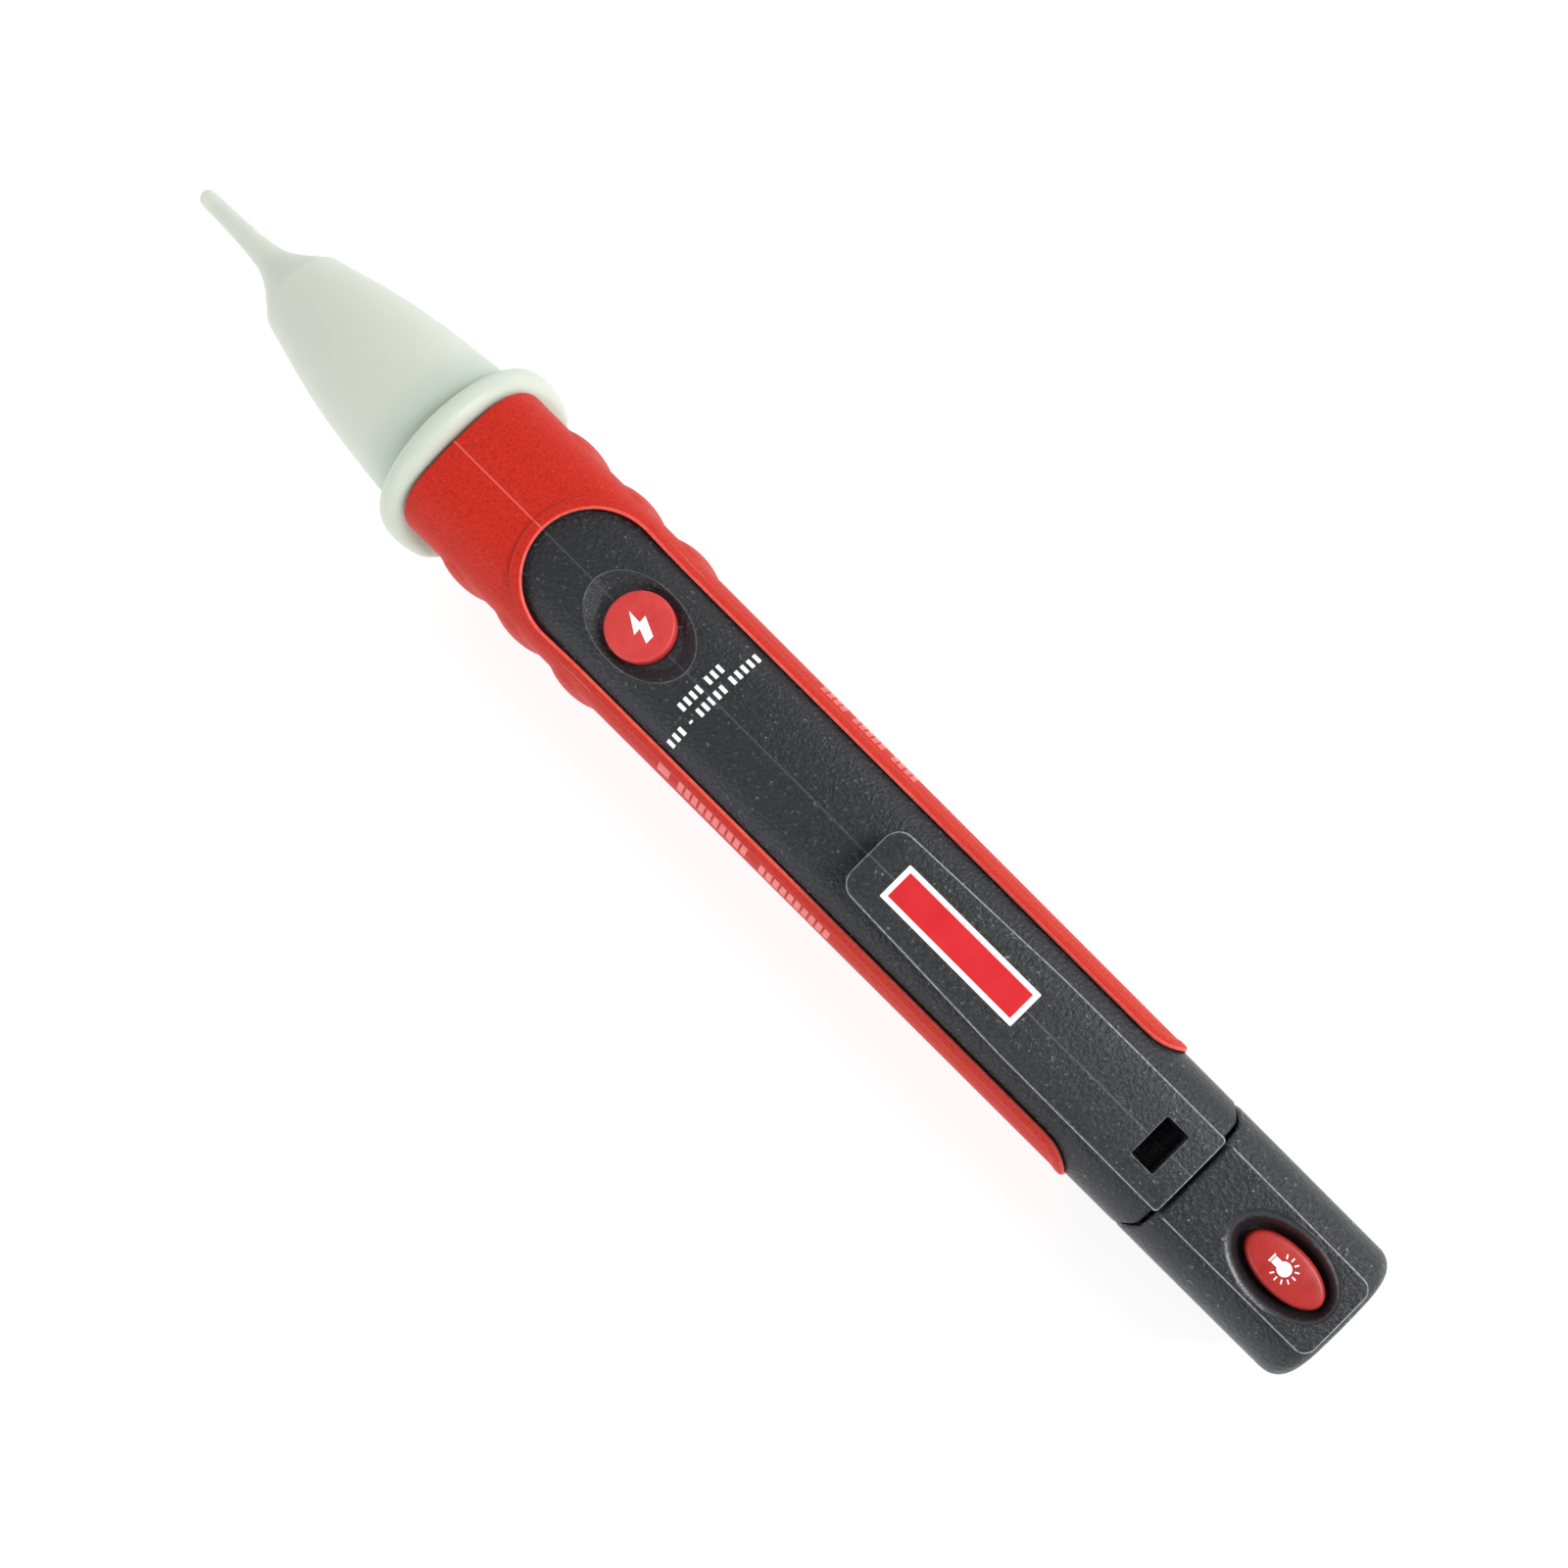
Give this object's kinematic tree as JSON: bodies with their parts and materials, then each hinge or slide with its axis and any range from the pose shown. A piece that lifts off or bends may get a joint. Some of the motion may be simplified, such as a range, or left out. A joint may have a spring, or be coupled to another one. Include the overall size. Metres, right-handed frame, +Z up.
{
  "type": "non contact voltage tester",
  "caption": "Pen-shaped non contact voltage tester with a translucent sensing nose, rubber grip, pocket clip, push buttons and a sliding battery drawer.",
  "frame": {"origin": "under the middle of the tester, on the surface that it lies on", "axes": "+X along the pen towards the sensing tip, +Z up through the clip and the buttons"},
  "size_m": [0.1754, 0.0244, 0.0259],
  "materials": {
    "tip_plastic": "satin translucent",
    "red_overmould": "fine satin grain",
    "barrel_black": "moulded leather grain",
    "clip_black": "coarse moulded grain",
    "cap_black": "coarse moulded grain",
    "button_red": "satin",
    "white_plastic": "satin",
    "board_green": "solder mask",
    "chip_black": "matt",
    "contact_steel": "nickel plated",
    "wire_copper": "bare",
    "cell_wrap": "printed sleeve",
    "led_red": "tinted clear",
    "lens_clear": "clear"
  },
  "bodies": {
    "barrel": {"sensor_tip": "tip_plastic", "barrel": "barrel_black", "grip_overmould": "red_overmould", "sensor_antenna": "wire_copper", "indicator_leds": "led_red", "main_board": "board_green", "signal_chip": "chip_black", "smd_parts": "chip_black", "buzzer": "chip_black", "range_switch_base": "chip_black", "contact_bulkhead": "barrel_black", "positive_contact": "contact_steel", "return_contact": "contact_steel"},
    "pocket_clip": {"pocket_clip": "clip_black"},
    "range_button": {"range_button": "button_red", "range_switch_plunger": "white_plastic"},
    "battery_drawer": {"rear_cap": "cap_black", "battery_tray": "barrel_black", "battery_front": "cell_wrap", "battery_rear": "cell_wrap", "battery_spring": "contact_steel", "rear_contact": "contact_steel", "return_strip": "contact_steel", "flashlight_board": "board_green", "flashlight_led": "white_plastic", "flashlight_lens": "lens_clear", "flashlight_switch_base": "chip_black"},
    "flashlight_button": {"flashlight_button": "button_red", "flashlight_switch_plunger": "white_plastic"},
    "latch_tongue": {"latch_tongue": "barrel_black"}
  },
  "joints": [
    {"name": "clip_flex", "type": "hinge", "parent": "barrel", "child": "pocket_clip", "pos_m": [-0.0667, 0, 0.0213], "axis": [0, -1, 0], "range_deg": [0, 5], "stiffness_Nm_per_rad": 2.7},
    {"name": "range_button_press", "type": "slide", "parent": "barrel", "child": "range_button", "axis": [0, 0, -1], "range_m": [0, 0.0006], "stiffness_N_per_m": 2500},
    {"name": "battery_drawer_slide", "type": "slide", "parent": "barrel", "child": "battery_drawer", "axis": [-1, 0, 0], "range_m": [0, 0.088]},
    {"name": "flashlight_button_press", "type": "slide", "parent": "battery_drawer", "child": "flashlight_button", "axis": [0, 0, -1], "range_m": [0, 0.0006], "stiffness_N_per_m": 2500},
    {"name": "latch_lift", "type": "hinge", "parent": "battery_drawer", "child": "latch_tongue", "pos_m": [-0.071, 0, 0.018], "axis": [0, -1, 0], "range_deg": [0, 8]}
  ]
}
